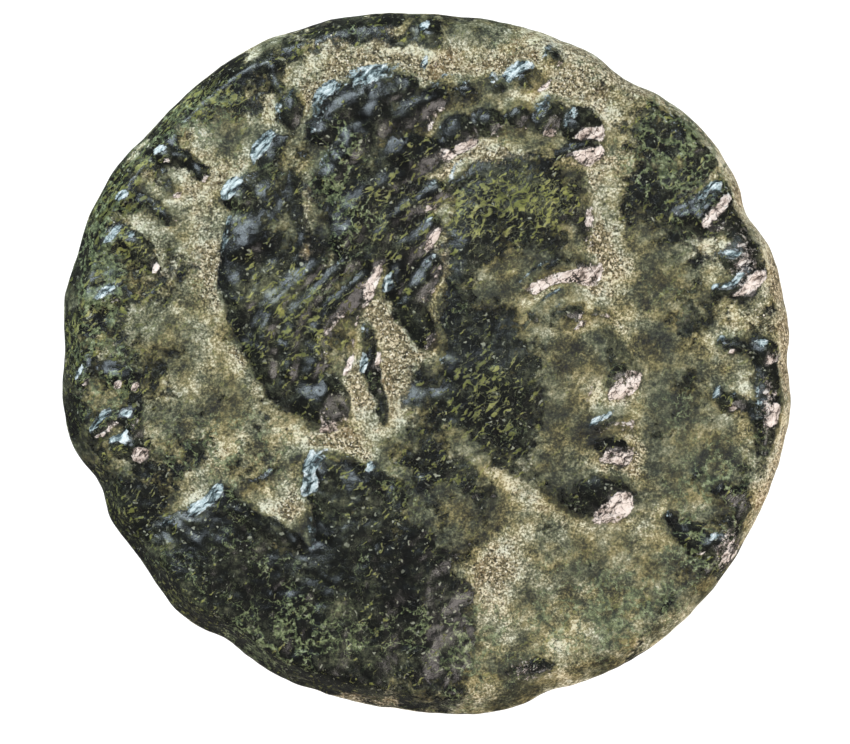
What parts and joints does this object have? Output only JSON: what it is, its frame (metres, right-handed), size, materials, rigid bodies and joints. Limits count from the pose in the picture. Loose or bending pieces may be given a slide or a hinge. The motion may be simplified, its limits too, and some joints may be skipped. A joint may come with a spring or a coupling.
{
  "type": "struck bronze coin",
  "caption": "Round struck bronze coin with a draped head in relief, a garlanded altar on the back and an uneven rounded edge.",
  "frame": {"origin": "centre of the coin's outline at the level it rests on, the highest points of its reverse", "axes": "+Z out of the portrait side, +Y towards the crown of the head, +X the way the head faces"},
  "size_m": [0.019, 0.0184, 0.0028],
  "materials": {
    "patinated_bronze": "buried bronze: black glossy patina on the high places with yellow-green veins and green spots, tan granular soil in the low places"
  },
  "bodies": {
    "root": {"coin": "patinated_bronze"}
  },
  "joints": []
}
